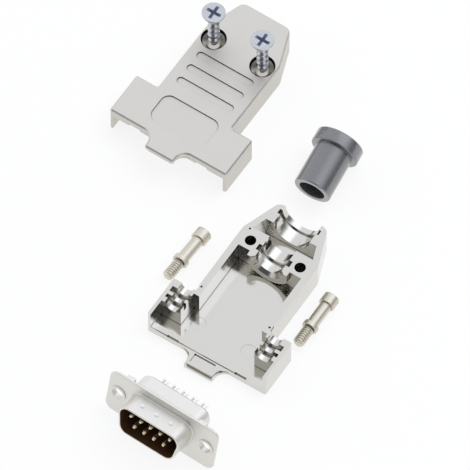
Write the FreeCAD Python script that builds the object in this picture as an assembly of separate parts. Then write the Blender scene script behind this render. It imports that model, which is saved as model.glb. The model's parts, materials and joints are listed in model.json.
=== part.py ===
import FreeCAD, Part
import math
import os
from FreeCAD import Vector, Placement, Rotation

# A nine-way solder-cup plug with its two-part die-cast hood, taken apart and
# laid out on a flat surface.  Millimetres, +Z up.  Every piece is first drawn
# where it sits in the closed connector: x across the flange, y from the mouth
# of the hood (0) back to the cable, z from the parting plane (0).  After that
# each piece is moved to its own place on the surface.

# Plug: flange and D-shaped shell
flange_width = 30.81
flange_height = 12.55
flange_corner = 2.0
shell_sheet = 0.5            # thickness of the stamped flanges
shell_wall = 0.4             # thickness of the drawn walls
hole_from_end = 2.91         # flange holes, from the ends of the flange
hole_radius = 1.525
d_from_hole = 4.035          # outside of the D shell, from the middle of a hole
d_height = 8.36
d_depth = 5.9
d_corner = 2.6
d_slant = 10.0               # degrees, both short sides
d_root = 0.3                 # eased corner where the D shell leaves the flange
dimple_pitch = 4.0
dimple_radius = 0.68
dimple_depth = 0.18
dimple_from_root = 2.9
eyelet_wall = 0.28
eyelet_rim = 0.3             # how far the rolled rim reaches past the barrel
eyelet_rim_thickness = 0.25
crimp_from_hole = 2.2        # crimp tabs, from the middle of a hole
crimp_width = 2.2
crimp_sheet = 0.4
crimp_drop = 1.3
rear_step = 1.19             # cup-shaped rear shell, beyond the D shell
rear_height = 10.7
rear_corner = 2.8
rear_depth = 4.3
part_clearance = 0.04        # between pressed-together connector pieces
insulator_proud = 0.45       # rear insulator beyond the rear shell

# Contacts
contact_pitch = 2.77
row_spacing = 2.84
pin_radius = 0.51
pin_length = 5.15
pin_point = 0.2
cup_radius = 0.95
cup_bore = 0.66
cup_length = 4.3
cup_bore_depth = 3.2
cup_mouth = 2.6              # length over which the cup is open on one side

# Hood halves
flange_side_play = 0.15
flange_height_play = 0.19
rear_shell_play = 0.55
throat_inset = 1.5           # the body is narrower than the room for the rear shell
throat_setback = 1.0         # where it narrows, in front of the wings' back
mouth_wall = 0.85
body_wall = 1.7
plate = 1.33
wing_depth = 11.45
taper_start = 32.1
hood_length = 42.2
end_half = 6.7
wing_corner = 0.5
neck_corner = 0.7
taper_corner = 2.0
outer_edge = 0.33            # eased outer edge
lip_depth = 1.7              # ridge across the front of the floor
lip_rise = 1.14
lip_notch_offset = 9.4
lip_notch_length = 3.1
lip_notch_depth = 0.43
collar_play = 0.65           # between the collar and the front web
web_front_depth = 1.33        # jackscrew channel: three walls and two pockets
web_gap = 0.98
web_middle_depth = 0.92
wing_wall = 1.9
shank_clearance = 0.15
collar_clearance = 0.25
head_clearance = 0.25
head_relief = 1.5            # eased corner beside the head, behind the wing
web_pocket_room = 1.0        # turned pockets between the webs, beyond the collar
ejector_radius = 1.9         # marks of the ejector pins in the floor
ejector_depth = 0.06
ejector_offset = 7.0
ejector_y = 7.3
locator_radius = 0.27        # blind holes in the rim of the lower half
locator_depth = 1.2
locator_inset = 0.7          # from the outside of the body
locator_left_run = 1.55      # behind the wings
locator_right_run = 0.75
locator_back_inset = 1.65
locator_back_run = 0.7       # in front of the grommet's chamber

# Front tab of each half
tab_half = 4.0
tab_reach = 3.85
tab_flare = 2.75
tab_corner = 0.45
tab_outer_layer = 1.14
tab_inner_layer = 1.14
tab_setback = 0.43
tab_recess_margin = 0.66
tab_recess_depth = 0.48

# Cable end of the hood
screw_offset = 6.89
screw_y = 29.83
boss_radius = 2.4
saddle_front = 26.1
saddle_half = 5.5
saddle_flare = 0.85
cable_radius = 3.7
strain_groove = 28.5
strain_groove_end = 30.2
strain_groove_radius = 4.65
flange_pocket = 33.2
gland_groove = 39.6
gland_groove_end = 40.9
gland_groove_radius = 5.7
gland_clearance = 0.3

# Outside of the cover
panel_half = 7.9
panel_front = 3.1
panel_back = 11.3
panel_corner = 2.3
relief_depth = 0.3
rib_slot_width = 2.0
rib_slot_first = 15.9
rib_slot_pitch = 4.2
rib_slot_count = 3
sink_radius = 3.1
sink_straight = 0.57
sink_cone = 1.43
screw_hole_radius = 1.6
sink_boss_radius = 3.7
sink_boss_depth = 3.25

# Screws that hold the cover
screw_length = 13.95
screw_head_radius = 2.85
screw_head_rim = 0.29
screw_radius = 1.43
screw_tip_length = 1.5
screw_tip_radius = 0.5
recess_length = 3.7
recess_width = 0.8
recess_depth = 1.6
pilot_radius = 1.36
pilot_floor = 0.57
screw_start = 0.3            # how far the points stand in the cover's holes

# Jackscrews
jack_head_radius = 2.0
jack_head_length = 2.66
jack_shank_radius = 1.47
jack_shank_length = 6.2
jack_collar_radius = 1.95
jack_collar_length = 1.24
jack_thread_radius = 1.42
jack_thread_length = 5.0
jack_slot_width = 0.76
jack_slot_depth = 0.86
jack_edge = 0.24

# Cable grommet
grommet_radius = 4.7
grommet_bore = 3.25
grommet_length = 14.5
grommet_flange_radius = 6.06
grommet_flange_length = 3.42
grommet_edge = 0.33
grommet_play = 0.1

# Where each piece lies (x, y), and how it is turned
cover_place = (-37.9, 42.1)
cover_turn = -1.0
plug_place = (1.71, -21.84)
plug_turn = -2.9
left_jack_gap = 8.75                # from the body to the screw's axis
left_jack_y = 26.2                  # front face of the head
left_jack_turn = -3.3
right_jack_gap = 5.31
right_jack_y = 27.33
right_jack_turn = 0.0
grommet_place = (-3.19, 50.69)      # middle of the sleeve's front end
grommet_turn = 4.3

# Sizes that follow from those above
jack_offset = flange_width / 2 - hole_from_end
d_width = 2 * (jack_offset - d_from_hole)
rear_width = d_width + 2 * rear_step
crimp_offset = jack_offset - crimp_from_hole
inner_half = flange_width / 2 + flange_side_play
mouth_half = inner_half + mouth_wall
inner_height = flange_height / 2 + flange_height_play
half_height = inner_height + plate
cavity_half = rear_width / 2 + rear_shell_play
throat_half = cavity_half - throat_inset
throat_start = wing_depth - throat_setback
body_half = throat_half + body_wall
flange_stack = 2 * shell_sheet
web_front = (lip_depth + flange_stack + eyelet_rim_thickness + jack_collar_length
             + collar_play)
web_front_end = web_front + web_front_depth
web_middle = web_front_end + web_gap
web_middle_end = web_middle + web_middle_depth
wing_back = wing_depth - wing_wall
shank_channel = jack_shank_radius + shank_clearance
collar_channel = jack_collar_radius + collar_clearance
head_channel = jack_head_radius + head_clearance
web_pocket_radius = jack_collar_radius + web_pocket_room
boss_front = screw_y - boss_radius
gland_radius = grommet_radius + gland_clearance
pocket_radius = grommet_flange_radius + gland_clearance
pocket_end = flange_pocket + grommet_flange_length + 2 * grommet_play
insulator_end = flange_stack + rear_depth + insulator_proud
rear_end = flange_stack + rear_depth
locator_places = ((locator_inset - body_half, wing_depth + locator_left_run),
                  (body_half - locator_inset, wing_depth + locator_right_run),
                  (locator_back_inset - body_half, flange_pocket - locator_back_run))
left_jack_place = (-body_half - left_jack_gap, left_jack_y)
right_jack_place = (body_half + right_jack_gap, right_jack_y)


def box(x0, x1, y0, y1, z0, z1):
    """A block between two opposite corners."""
    return Part.makeBox(x1 - x0, y1 - y0, z1 - z0, Vector(x0, y0, z0))


def rod(radius, y0, y1, x=0.0, z=0.0):
    """A cylinder lying along y."""
    return Part.makeCylinder(radius, y1 - y0, Vector(x, y0, z), Vector(0, 1, 0))


def post(radius, x, y, z0, z1):
    """A cylinder standing along z."""
    return Part.makeCylinder(radius, z1 - z0, Vector(x, y, z0), Vector(0, 0, 1))


def rounded_face(corners):
    """A flat face in the xy plane from (x, y, radius) corners in order."""
    count = len(corners)
    starts, ends, arcs = [], [], []
    for i, (x, y, radius) in enumerate(corners):
        here = Vector(x, y, 0)
        before = Vector(*corners[i - 1][:2], 0) - here
        after = Vector(*corners[(i + 1) % count][:2], 0) - here
        before.normalize()
        after.normalize()
        half = before.getAngle(after) / 2
        if radius <= 0:
            starts.append(here)
            ends.append(here)
            arcs.append(None)
            continue
        cut = radius / math.tan(half)
        inward = before + after
        inward.normalize()
        middle = here + inward * (radius / math.sin(half) - radius)
        first, last = here + before * cut, here + after * cut
        starts.append(first)
        ends.append(last)
        arcs.append(Part.Arc(first, middle, last).toShape())
    edges = []
    for i in range(count):
        if arcs[i] is not None:
            edges.append(arcs[i])
        following = starts[(i + 1) % count]
        if (following - ends[i]).Length > 1e-6:
            edges.append(Part.LineSegment(ends[i], following).toShape())
    return Part.Face(Part.Wire(edges))


def raised(face, z0, z1):
    """Pull an xy face up from z0 to z1."""
    solid = face.extrude(Vector(0, 0, z1 - z0))
    solid.translate(Vector(0, 0, z0))
    return solid


def upright(face, y0, y1):
    """Stand an xy face up in the xz plane and pull it from y0 to y1."""
    solid = face.extrude(Vector(0, 0, y1 - y0))
    solid.rotate(Vector(0, 0, 0), Vector(1, 0, 0), 90)
    solid.translate(Vector(0, y1, 0))
    return solid


def turned(profile):
    """Revolve (radius, y) points about the y axis."""
    points = [Vector(radius, y, 0) for radius, y in profile]
    wire = Part.makePolygon(points + [points[0]])
    return Part.Face(wire).revolve(Vector(0, 0, 0), Vector(0, 1, 0), 360)


def joined(shapes):
    """One solid from several that touch."""
    return shapes[0].multiFuse(shapes[1:]).removeSplitter()


def solid_of(shape):
    """The single solid of a result."""
    return shape.Solids[0] if len(shape.Solids) == 1 else shape


def flipped(shape):
    """The same piece mirrored top to bottom in the parting plane."""
    return shape.mirror(Vector(0, 0, 0), Vector(0, 0, 1))


# Hood
def hood_outline():
    """Plan of the hood: wide mouth, narrower body, tapered cable end."""
    right = [(mouth_half, 0, wing_corner), (mouth_half, wing_depth, wing_corner),
             (body_half, wing_depth, neck_corner),
             (body_half, taper_start, taper_corner),
             (end_half, hood_length, taper_corner)]
    left = [(-x, y, radius) for x, y, radius in reversed(right)]
    return rounded_face(right + left)


def tab_face(half, reach, flare):
    """Plan of the tab: a tongue that flares into the front edge."""
    root = half + flare + 0.4
    return rounded_face([(-half, -reach, tab_corner), (half, -reach, tab_corner),
                         (half, 0, flare), (root, 0, 0), (root, lip_depth, 0),
                         (-root, lip_depth, 0), (-root, 0, 0), (-half, 0, flare)])


def front_tab():
    """Two-layer tongue with a shallow recess in its inner face."""
    base = -half_height
    middle = base + tab_outer_layer
    top = middle + tab_inner_layer
    outer = raised(tab_face(tab_half, tab_reach, tab_flare), base, middle)
    inner = raised(tab_face(tab_half - tab_setback, tab_reach - tab_setback,
                            tab_flare), middle, top)
    reach = tab_half - tab_setback - tab_recess_margin
    recess = box(-reach, reach, -tab_reach + tab_setback + tab_recess_margin,
                 -tab_recess_margin / 2, top - tab_recess_depth, top + 1)
    return outer, inner, recess


def blank_half():
    """Solid outside form of one half, open side at z = 0."""
    outer, inner, recess = front_tab()
    body = raised(hood_outline(), -half_height, 0)
    form = joined([body, outer, inner]).cut(recess)
    rim = [edge for edge in form.Edges
           if edge.BoundBox.ZMax < -half_height + 1e-4]
    return form.makeChamfer(outer_edge, rim)


def mouth_space():
    """Room for the flange, open at the front, with the ridge left standing."""
    floor = -inner_height
    above_lip = box(-inner_half, inner_half, -tab_reach - 5, lip_depth + 0.1,
                    floor + lip_rise, 1)
    behind_lip = box(-inner_half, inner_half, lip_depth, web_front, floor, 1)
    return above_lip.fuse(behind_lip)


def main_space():
    """Inside of the body: room for the rear shell, then the narrower throat."""
    floor = -inner_height
    room = box(-cavity_half, cavity_half, lip_depth, throat_start, floor, 1)
    throat = box(-throat_half, throat_half, lip_depth, boss_front, floor, 1)
    saddle = box(-saddle_half, saddle_half, saddle_front, boss_front + 1,
                 floor - 1, 2)
    return room.fuse(throat).cut(saddle)


def wing_space(side):
    """Stepped round channel that carries one jackscrew past three webs."""
    profile = [(0, web_front - 1), (collar_channel, web_front - 1),
               (collar_channel, web_front_end), (web_pocket_radius, web_front_end),
               (web_pocket_radius, web_middle), (shank_channel, web_middle),
               (shank_channel, web_middle_end), (web_pocket_radius, web_middle_end),
               (web_pocket_radius, wing_back), (shank_channel, wing_back),
               (shank_channel, wing_depth), (head_channel, wing_depth),
               (head_channel, wing_depth + head_relief),
               (0, wing_depth + head_relief)]
    channel = turned(profile)
    channel.translate(Vector(side * jack_offset, 0, 0))
    return channel


def taper_half(y):
    """Half width of the outside at a place along the tapered end."""
    share = (y - taper_start) / (hood_length - taper_start)
    return body_half + share * (end_half - body_half)


def pocket_space():
    """Chamber for the flange of the grommet; its sides follow the taper."""
    front = taper_half(flange_pocket) - body_wall
    back = taper_half(pocket_end) - body_wall
    return raised(rounded_face([(-front, flange_pocket, 0), (front, flange_pocket, 0),
                                (back, pocket_end, 0), (-back, pocket_end, 0)]),
                  -pocket_radius, 1)


def ejector_marks():
    """Faint round marks that the ejector pins leave in the floor."""
    return [post(ejector_radius, side * ejector_offset, ejector_y,
                 -inner_height - ejector_depth, -inner_height + 1)
            for side in (-1, 1)]


def cable_space():
    """Turned room for the cable, the grommet's flange and its sleeve."""
    flare_end = saddle_front + saddle_flare
    profile = [(0, saddle_front - 1), (cable_radius + saddle_flare, saddle_front - 1),
               (cable_radius + saddle_flare, saddle_front), (cable_radius, flare_end),
               (cable_radius, strain_groove), (strain_groove_radius, strain_groove),
               (strain_groove_radius, strain_groove_end),
               (cable_radius, strain_groove_end), (cable_radius, flange_pocket),
               (pocket_radius, flange_pocket), (pocket_radius, pocket_end),
               (gland_radius, pocket_end), (gland_radius, gland_groove),
               (gland_groove_radius, gland_groove),
               (gland_groove_radius, gland_groove_end),
               (gland_radius, gland_groove_end), (gland_radius, hood_length + 2),
               (0, hood_length + 2)]
    return turned(profile)


def lip_notches():
    """Two shallow pockets in the front of the ridge."""
    top = -inner_height + lip_rise
    return [box(side * lip_notch_offset - lip_notch_length / 2,
                side * lip_notch_offset + lip_notch_length / 2,
                -1, lip_notch_depth, top - 0.6, top + 1) for side in (-1, 1)]


def open_half(extra_bosses):
    """One half with its inside moulded; extra_bosses stay standing."""
    spaces = [mouth_space(), main_space(), cable_space(), pocket_space(),
              wing_space(-1), wing_space(1)]
    form = blank_half().cut(spaces[0].multiFuse(spaces[1:]))
    if extra_bosses:
        form = joined([form] + extra_bosses)
    return form.cut(lip_notches() + ejector_marks())


def lower_shell():
    """Half with the blind holes that the cover screws bite into."""
    form = open_half([])
    holes = [post(pilot_radius, side * screw_offset, screw_y,
                  -half_height + pilot_floor, 1) for side in (-1, 1)]
    holes += [post(locator_radius, x, y, -locator_depth, 1)
              for x, y in locator_places]
    return solid_of(form.cut(holes).removeSplitter())


def sink_hole(side):
    """Countersunk way for one screw through the cover (drawn upside down)."""
    x, base = side * screw_offset, -half_height
    mouth = post(sink_radius, x, screw_y, base - 1, base + sink_straight)
    cone = Part.makeCone(sink_radius, screw_hole_radius, sink_cone,
                         Vector(x, screw_y, base + sink_straight),
                         Vector(0, 0, 1))
    way = post(screw_hole_radius, x, screw_y, base, 1)
    return mouth.fuse([cone, way])


def sink_boss(side):
    """Thick root under one countersunk hole, kept out of the cable room."""
    boss = post(sink_boss_radius, side * screw_offset, screw_y,
                -half_height + plate / 2, -half_height + sink_boss_depth)
    inside = box(-body_half + body_wall / 2, body_half - body_wall / 2,
                 saddle_front, hood_length, -half_height, 0)
    return boss.common(inside)


def cover_reliefs():
    """Round-ended grooves and the rounded panel on the outside of the cover."""
    base = -half_height
    z0, z1 = base - 1, base + relief_depth
    panel = raised(rounded_face([(-panel_half, panel_front, panel_corner),
                                 (panel_half, panel_front, panel_corner),
                                 (panel_half, panel_back, panel_corner),
                                 (-panel_half, panel_back, panel_corner)]), z0, z1)
    cuts = [panel]
    end = rib_slot_width / 2
    for i in range(rib_slot_count):
        y = rib_slot_first + i * rib_slot_pitch
        slot = rounded_face([(-panel_half, y - end, end * 0.999),
                             (panel_half, y - end, end * 0.999),
                             (panel_half, y + end, end * 0.999),
                             (-panel_half, y + end, end * 0.999)])
        cuts.append(raised(slot, z0, z1))
    return cuts


def upper_shell():
    """Cover: the same moulded inside, countersunk holes and outer reliefs."""
    form = open_half([sink_boss(-1), sink_boss(1)])
    form = form.cut([sink_hole(-1), sink_hole(1)] + cover_reliefs())
    return solid_of(flipped(form.removeSplitter()))


# Loose hardware
def cross_recess():
    """Two crossing tapered slots, mouth at z = 0."""
    arms = []
    for angle in (0, 90):
        sections = []
        for z, length, width in ((0.2, recess_length, recess_width),
                                 (-recess_depth, recess_width * 1.6,
                                  recess_width * 0.75)):
            a, b = length / 2, width / 2
            sections.append(Part.makePolygon([Vector(-a, -b, z), Vector(a, -b, z),
                                              Vector(a, b, z), Vector(-a, b, z),
                                              Vector(-a, -b, z)]))
        arm = Part.makeLoft(sections, True, True)
        arm.rotate(Vector(0, 0, 0), Vector(0, 0, 1), angle)
        arms.append(arm)
    return arms[0].fuse(arms[1])


def cover_screw():
    """Countersunk cross-head screw, head top at z = 0, point downwards."""
    slope = (sink_radius - screw_hole_radius) / sink_cone
    cone_end = screw_head_rim + (screw_head_radius - screw_radius) / slope
    profile = [(0, 0), (screw_head_radius, 0),
               (screw_head_radius, -screw_head_rim), (screw_radius, -cone_end),
               (screw_radius, -screw_length + screw_tip_length),
               (screw_tip_radius, -screw_length), (0, -screw_length)]
    screw = turned(profile)
    screw.rotate(Vector(0, 0, 0), Vector(1, 0, 0), 90)
    return solid_of(screw.cut(cross_recess()))


def jackscrew():
    """Slotted jackscrew along y: head front at y = 0, thread towards -y."""
    collar_back = -jack_shank_length
    collar_front = collar_back - jack_collar_length
    tip = collar_front - jack_thread_length
    profile = [(0, jack_head_length),
               (jack_head_radius - jack_edge, jack_head_length),
               (jack_head_radius, jack_head_length - jack_edge),
               (jack_head_radius, 0), (jack_shank_radius, 0),
               (jack_shank_radius, collar_back), (jack_collar_radius, collar_back),
               (jack_collar_radius, collar_front),
               (jack_thread_radius, collar_front),
               (jack_thread_radius, tip + jack_edge),
               (jack_thread_radius - jack_edge, tip), (0, tip)]
    slot = box(-jack_head_radius, jack_head_radius,
               jack_head_length - jack_slot_depth, jack_head_length + 1,
               -jack_slot_width / 2, jack_slot_width / 2)
    return solid_of(turned(profile).cut(slot))


def grommet():
    """Rubber sleeve along y with its flange at the back, front end at y = 0."""
    step = grommet_length - grommet_flange_length
    edge = grommet_edge
    profile = [(grommet_bore, 0),
               (grommet_radius - edge, 0), (grommet_radius, edge),
               (grommet_radius, step), (grommet_flange_radius - edge, step),
               (grommet_flange_radius, step + edge),
               (grommet_flange_radius, grommet_length - edge),
               (grommet_flange_radius - edge, grommet_length),
               (grommet_bore, grommet_length)]
    return solid_of(turned(profile))


# Plug; y = 0 is the front face of its flange
def d_face(width, height, corner):
    """D outline: long side up, both short sides slanted, round corners."""
    slope = math.tan(math.radians(d_slant))
    side = corner / math.cos(math.radians(d_slant))
    top = width / 2 - corner + side + corner * slope
    bottom = top - height * slope
    half = height / 2
    return rounded_face([(-bottom, -half, corner), (bottom, -half, corner),
                         (top, half, corner), (-top, half, corner)])


def flange_face(width, height):
    """Rounded rectangle of the flange."""
    a, b, corner = width / 2, height / 2, flange_corner
    return rounded_face([(-a, -b, corner), (a, -b, corner), (a, b, corner),
                         (-a, b, corner)])


def barrel_radius_outer(extra=0.0):
    """Outside radius of the eyelet's barrel."""
    return hole_radius + eyelet_wall + extra


def crimp_tab(side, up):
    """One tab folded over the edge of the rear flange."""
    x = side * crimp_offset
    outer = up * flange_height / 2
    under = outer - up * crimp_sheet
    low = outer - up * crimp_drop
    back = flange_stack + part_clearance
    over = box(x - crimp_width / 2, x + crimp_width / 2, shell_sheet,
               back + crimp_sheet, min(outer, under), max(outer, under))
    down = box(x - crimp_width / 2, x + crimp_width / 2, back,
               back + crimp_sheet, min(outer, low), max(outer, low))
    return [over, down]


def front_shell():
    """Drawn D shell and flange, with dimples and crimp tabs."""
    flange = upright(flange_face(flange_width, flange_height), 0, shell_sheet)
    outer = upright(d_face(d_width, d_height, d_corner), -d_depth, shell_sheet / 2)
    form = joined([flange, outer])
    root = [edge for edge in form.Edges if on_root(edge)]
    form = form.makeChamfer(d_root, root)
    inner = upright(d_face(d_width - 2 * shell_wall, d_height - 2 * shell_wall,
                           d_corner - shell_wall), -d_depth - 1, shell_sheet + 1)
    form = form.cut([inner] + [rod(barrel_radius_outer(part_clearance), -1, 2,
                                   side * jack_offset) for side in (-1, 1)])
    tabs = []
    for side in (-1, 1):
        for up in (-1, 1):
            tabs += crimp_tab(side, up)
    return solid_of(joined([form] + tabs).cut(dimples()))


def on_root(edge):
    """True for the edges where the D shell leaves the flange."""
    bounds = edge.BoundBox
    middle = edge.CenterOfMass
    return (abs(bounds.YMin) < 1e-4 and abs(bounds.YMax) < 1e-4
            and abs(middle.x) < d_width / 2 + 0.1
            and abs(middle.z) < d_height / 2 + 0.1)


def dimples():
    """Shallow round dimples in a row on the long side of the D shell."""
    ball = (dimple_radius ** 2 + dimple_depth ** 2) / (2 * dimple_depth)
    height = d_height / 2 - dimple_depth + ball
    return [Part.makeSphere(ball, Vector(i * dimple_pitch, -dimple_from_root,
                                         height)) for i in (-1, 0, 1)]


def rear_shell():
    """Rear flange with its shallow cup, open at the back."""
    margin = 2 * (crimp_sheet + part_clearance)
    flange = upright(flange_face(flange_width - margin, flange_height - margin),
                     shell_sheet, flange_stack)
    cup = upright(d_face(rear_width, rear_height, rear_corner),
                  shell_sheet, rear_end)
    form = joined([flange, cup])
    inner = upright(d_face(rear_width - 2 * shell_wall,
                           rear_height - 2 * shell_wall,
                           rear_corner - shell_wall), 0, rear_end + 1)
    holes = [rod(barrel_radius_outer(part_clearance), 0, 2, side * jack_offset)
             for side in (-1, 1)]
    return solid_of(form.cut([inner] + holes))


def eyelet():
    """Rolled tube through both flanges, centred on x = z = 0."""
    rim = barrel_radius_outer() + eyelet_rim
    front, back = -eyelet_rim_thickness, flange_stack + eyelet_rim_thickness
    profile = [(hole_radius, front), (rim, front), (rim, 0),
               (barrel_radius_outer(), 0), (barrel_radius_outer(), flange_stack),
               (rim, flange_stack), (rim, back), (hole_radius, back)]
    return solid_of(turned(profile))


def contact_places():
    """x and z of the nine contacts: five above, four below, with their turn."""
    upper = [((i - 2) * contact_pitch, row_spacing / 2, 0) for i in range(5)]
    lower = [((i - 1.5) * contact_pitch, -row_spacing / 2, 180) for i in range(4)]
    return upper + lower


def insulator():
    """One stepped moulding: floor of the D shell in front, block behind."""
    shrink = shell_wall + part_clearance
    step = shell_sheet + part_clearance
    front = upright(d_face(d_width - 2 * shrink, d_height - 2 * shrink,
                           d_corner - shrink), 0, step)
    rear = upright(d_face(rear_width - 2 * shrink, rear_height - 2 * shrink,
                          rear_corner - shrink), step, insulator_end)
    holes = [rod(pin_radius + part_clearance, -1, insulator_end + 1, x, z)
             for x, z, turn in contact_places()]
    return solid_of(joined([front, rear]).cut(holes))


def contact():
    """Round pin with an open solder cup behind, cup open upwards."""
    tip = -pin_length
    start = insulator_end
    end = start + cup_length
    profile = [(0, tip), (pin_radius - pin_point, tip),
               (pin_radius, tip + 2 * pin_point), (pin_radius, start),
               (cup_radius, start), (cup_radius, end), (cup_bore, end),
               (cup_bore, end - cup_bore_depth), (0, end - cup_bore_depth)]
    opening = Part.Face(Part.makePolygon([
        Vector(0, end - cup_mouth, cup_radius), Vector(0, end - cup_mouth * 0.7, 0.1),
        Vector(0, end + 1, 0.1), Vector(0, end + 1, 2 * cup_radius),
        Vector(0, end - cup_mouth, 2 * cup_radius),
        Vector(0, end - cup_mouth, cup_radius)]))
    opening.translate(Vector(-cup_radius - 1, 0, 0))
    return solid_of(turned(profile).cut(
        opening.extrude(Vector(2 * cup_radius + 2, 0, 0))))


def plug_pieces():
    """Every piece of the plug, standing upright."""
    pieces = {"connector_front_shell": front_shell(),
              "connector_rear_shell": rear_shell(),
              "connector_insulator": insulator()}
    for name, side in (("left", -1), ("right", 1)):
        pieces["connector_eyelet_" + name] = moved(
            eyelet(), Placement(Vector(side * jack_offset, 0, 0), Rotation()))
    for number, (x, z, turn) in enumerate(contact_places(), 1):
        spin = Rotation(Vector(0, 1, 0), turn)
        pieces["contact_%d" % number] = moved(contact(),
                                              Placement(Vector(x, 0, z), spin))
    return pieces


# Laying the pieces out
def moved(shape, placement):
    """A copy of the shape carried by the placement."""
    copy = shape.copy()
    copy.Placement = placement.multiply(copy.Placement)
    return copy


def plug_placement():
    """The plug leans back on its lower crimp tabs and the rear shell's rim."""
    pivot_y = flange_stack + part_clearance + crimp_sheet
    pivot_z = -flange_height / 2
    lean = math.atan2((flange_height - rear_height) / 2, rear_end - pivot_y)
    turn = Rotation(Vector(0, 0, 1), plug_turn).multiply(
        Rotation(Vector(1, 0, 0), -math.degrees(lean)))
    low = turn.multVec(Vector(0, pivot_y, pivot_z)).z
    return Placement(Vector(plug_place[0], plug_place[1], -low), turn)


def jack_placement(place, spin):
    """A jackscrew rests on its head and its collar."""
    run = jack_shank_length + jack_collar_length
    drop = math.atan2(jack_head_radius - jack_collar_radius, run)
    height = jack_head_radius * math.cos(drop)
    turn = Rotation(Vector(0, 0, 1), spin).multiply(
        Rotation(Vector(1, 0, 0), math.degrees(drop)))
    return Placement(Vector(place[0], place[1], height), turn)


def grommet_placement():
    """The grommet rests on its flange and on the front end of its sleeve."""
    front = Vector(0, grommet_edge, -grommet_radius)
    back = Vector(0, grommet_length - grommet_flange_length + grommet_edge,
                  -grommet_flange_radius)
    lift = math.atan2(front.z - back.z, back.y - front.y)
    tilt = Rotation(Vector(1, 0, 0), math.degrees(lift))
    low = min(tilt.multVec(front).z, tilt.multVec(back).z)
    turn = Rotation(Vector(0, 0, 1), grommet_turn).multiply(tilt)
    return Placement(Vector(grommet_place[0], grommet_place[1], -low), turn)


def cover_placement():
    """The cover lies with its outside up."""
    return Placement(Vector(cover_place[0], cover_place[1], 0),
                     Rotation(Vector(0, 0, 1), cover_turn))


def screw_placement(side):
    """A cover screw stands in the mouth of its hole."""
    height = half_height - sink_straight - sink_cone - screw_start + screw_length
    here = Placement(Vector(side * screw_offset, screw_y, height), Rotation())
    return cover_placement().multiply(here)


def laid_out():
    """Each piece of the set in its place on the surface."""
    here = Placement(Vector(0, 0, half_height), Rotation())
    pieces = {"lower_shell": moved(lower_shell(), here),
              "upper_shell": moved(upper_shell(), cover_placement()),
              "cable_grommet": moved(grommet(), grommet_placement()),
              "jackscrew_left": moved(jackscrew(), jack_placement(
                  left_jack_place, left_jack_turn)),
              "jackscrew_right": moved(jackscrew(), jack_placement(
                  right_jack_place, right_jack_turn)),
              "cover_screw_left": moved(cover_screw(), screw_placement(-1)),
              "cover_screw_right": moved(cover_screw(), screw_placement(1))}
    lean = plug_placement()
    for name, shape in plug_pieces().items():
        pieces[name] = moved(shape, lean)
    return pieces


def main():
    os.makedirs("parts", exist_ok=True)
    for name, shape in laid_out().items():
        shape.exportStep("parts/%s.step" % name)
        print("%-28s %2d solid(s)  %9.3f mm3" % (name, len(shape.Solids),
                                                 shape.Volume))


main()
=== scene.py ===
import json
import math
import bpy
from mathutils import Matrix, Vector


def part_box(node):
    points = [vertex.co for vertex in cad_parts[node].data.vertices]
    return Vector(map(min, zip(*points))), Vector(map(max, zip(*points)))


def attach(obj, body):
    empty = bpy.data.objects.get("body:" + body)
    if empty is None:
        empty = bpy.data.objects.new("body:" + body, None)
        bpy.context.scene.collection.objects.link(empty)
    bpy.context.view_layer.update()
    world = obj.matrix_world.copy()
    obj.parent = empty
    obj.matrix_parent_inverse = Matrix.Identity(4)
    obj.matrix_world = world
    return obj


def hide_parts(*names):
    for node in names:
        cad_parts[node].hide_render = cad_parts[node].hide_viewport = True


bl_info = {
    "name": "D-sub plug and hood set",
    "version": (1, 0, 0),
    "blender": (4, 5, 0),
    "location": "3D View > Sidebar > D-sub set",
    "description": "Dresses a nine-way D-sub plug, its cast hood, screws and grommet",
    "category": "Object",
}

import bmesh
import bpy
from mathutils import Matrix, Vector

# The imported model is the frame: every piece below takes its place from it.
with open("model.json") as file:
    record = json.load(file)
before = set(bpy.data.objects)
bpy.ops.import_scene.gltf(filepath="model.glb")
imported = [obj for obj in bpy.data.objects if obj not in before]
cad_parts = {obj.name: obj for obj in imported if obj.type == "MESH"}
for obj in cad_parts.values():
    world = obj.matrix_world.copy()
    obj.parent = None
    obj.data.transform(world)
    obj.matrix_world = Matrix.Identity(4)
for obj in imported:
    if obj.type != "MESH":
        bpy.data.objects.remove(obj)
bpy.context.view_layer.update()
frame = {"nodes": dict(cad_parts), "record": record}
MOUNTS = {mount["name"]: mount for mount in frame["record"]["mounts"]}
MM = 0.001

# A gap or depth that is too small to see
HAIR = 0.02 * MM

# Height of the cover's outside, and a radius just past the rims of its countersinks
COVER_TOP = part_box("upper_shell")[1][2]
COUNTERSINK_REACH = 3.12 * MM

# Lengths of a jackscrew, from its head to its point
JACK_HEAD = 2.66 * MM
JACK_SHANK = 6.2 * MM
JACK_COLLAR = 1.24 * MM
JACK_THREAD = 5.0 * MM
JACK_CHAMFER = 0.24 * MM

# Cross recess of a cover screw: from end to end of its arms, across one, and down
RECESS_SPAN = 4.0 * MM
RECESS_WIDTH = 0.85 * MM
RECESS_DEPTH = 1.5 * MM

# Point on the floor that the camera and the lamp aim at
AIM = Vector((-13.31 * MM, 33.11 * MM, 0))

# The photograph's direction, seen through a long lens
CAMERA_AZIMUTH = math.radians(32.7)
CAMERA_ELEVATION = math.radians(58.6)
CAMERA_DISTANCE = 3676.5 * MM
CAMERA_LENS = 1200

# Way from the set to the soft lamp
LAMP_WAY = (0.3, 0.45, 0.84)

# Sockets of the Mix node when it blends colours
FIRST, SECOND, BLEND = 6, 7, 2
# Soft noise seldom leaves this span, so it is stretched from here.
NOISE_SPAN = {"From Min": 0.3, "From Max": 0.7}


def linear(hex_colour):
    """An sRGB hex colour as linear red, green and blue."""
    shares = [int(hex_colour[i:i + 2], 16) / 255 for i in (0, 2, 4)]
    return tuple(s / 12.92 if s <= 0.04045 else ((s + 0.055) / 1.055) ** 2.4
                 for s in shares)


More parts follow.
